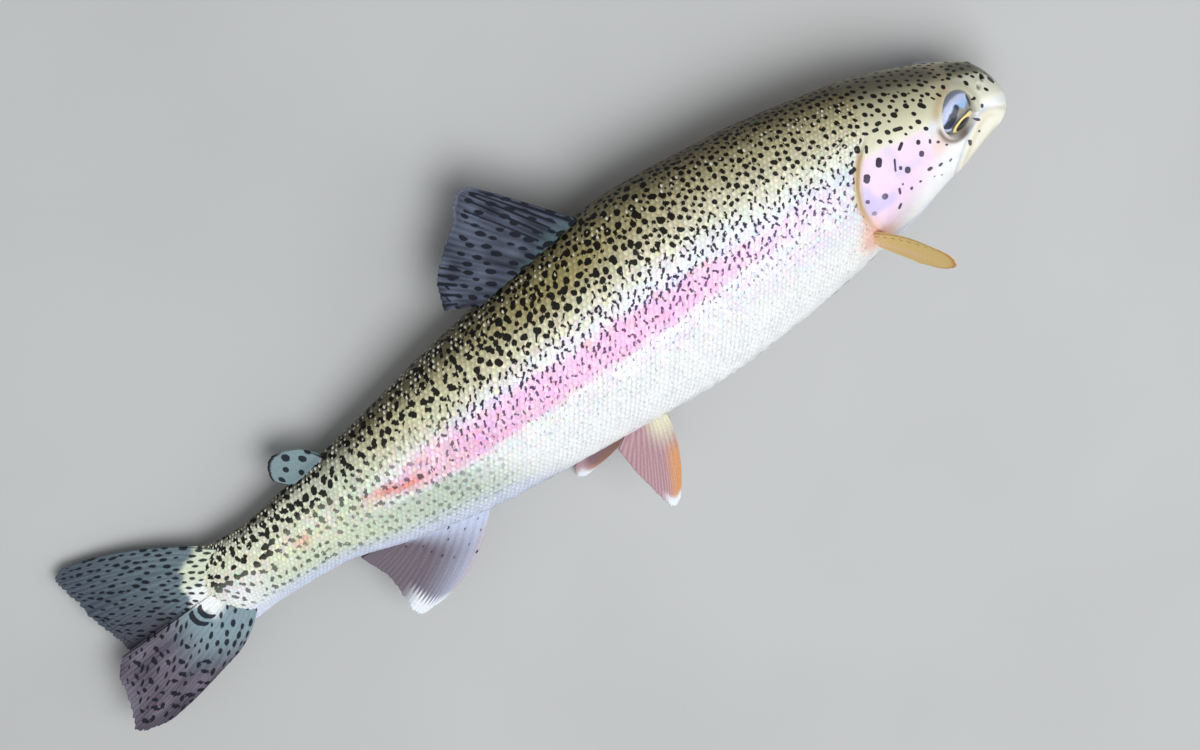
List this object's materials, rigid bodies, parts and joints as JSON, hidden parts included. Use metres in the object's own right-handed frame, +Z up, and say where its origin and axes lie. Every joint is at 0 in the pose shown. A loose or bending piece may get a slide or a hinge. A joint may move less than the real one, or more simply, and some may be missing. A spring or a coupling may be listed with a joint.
{
  "type": "rainbow trout model",
  "caption": "Life-size still model of a rainbow trout lying on its left flank, with spotted back, pink lateral band and spread fins.",
  "frame": {"origin": "middle of the model's outline on the floor it lies on", "axes": "+X from tail to snout, +Y towards the back of the fish, +Z up, out of its right flank"},
  "size_m": [0.4158, 0.1532, 0.0722],
  "materials": {
    "skin": "moist scaled skin, olive back to silver-white belly with a pink band",
    "eye": "glossy, black pupil in a gold-edged iris",
    "dark_fin": "translucent slate grey with dark spots along the rays",
    "pale_fin": "translucent mauve-pink rays with a white tip",
    "amber_fin": "translucent amber rays"
  },
  "bodies": {
    "root": {"head": "skin", "lower_jaw": "skin", "upper_jaw_bone_right": "skin", "upper_jaw_bone_left": "skin", "gill_cover_right": "skin", "gill_cover_left": "skin", "eye_right": "eye", "eye_left": "eye", "trunk_front": "skin", "trunk_rear": "skin", "tail_stalk": "skin", "dorsal_fin": "dark_fin", "adipose_fin": "dark_fin", "anal_fin": "pale_fin", "caudal_fin_upper": "dark_fin", "caudal_fin_lower": "dark_fin", "pelvic_fin_right": "pale_fin", "pelvic_fin_left": "pale_fin", "pectoral_fin_right": "amber_fin", "pectoral_fin_left": "amber_fin"}
  },
  "joints": []
}
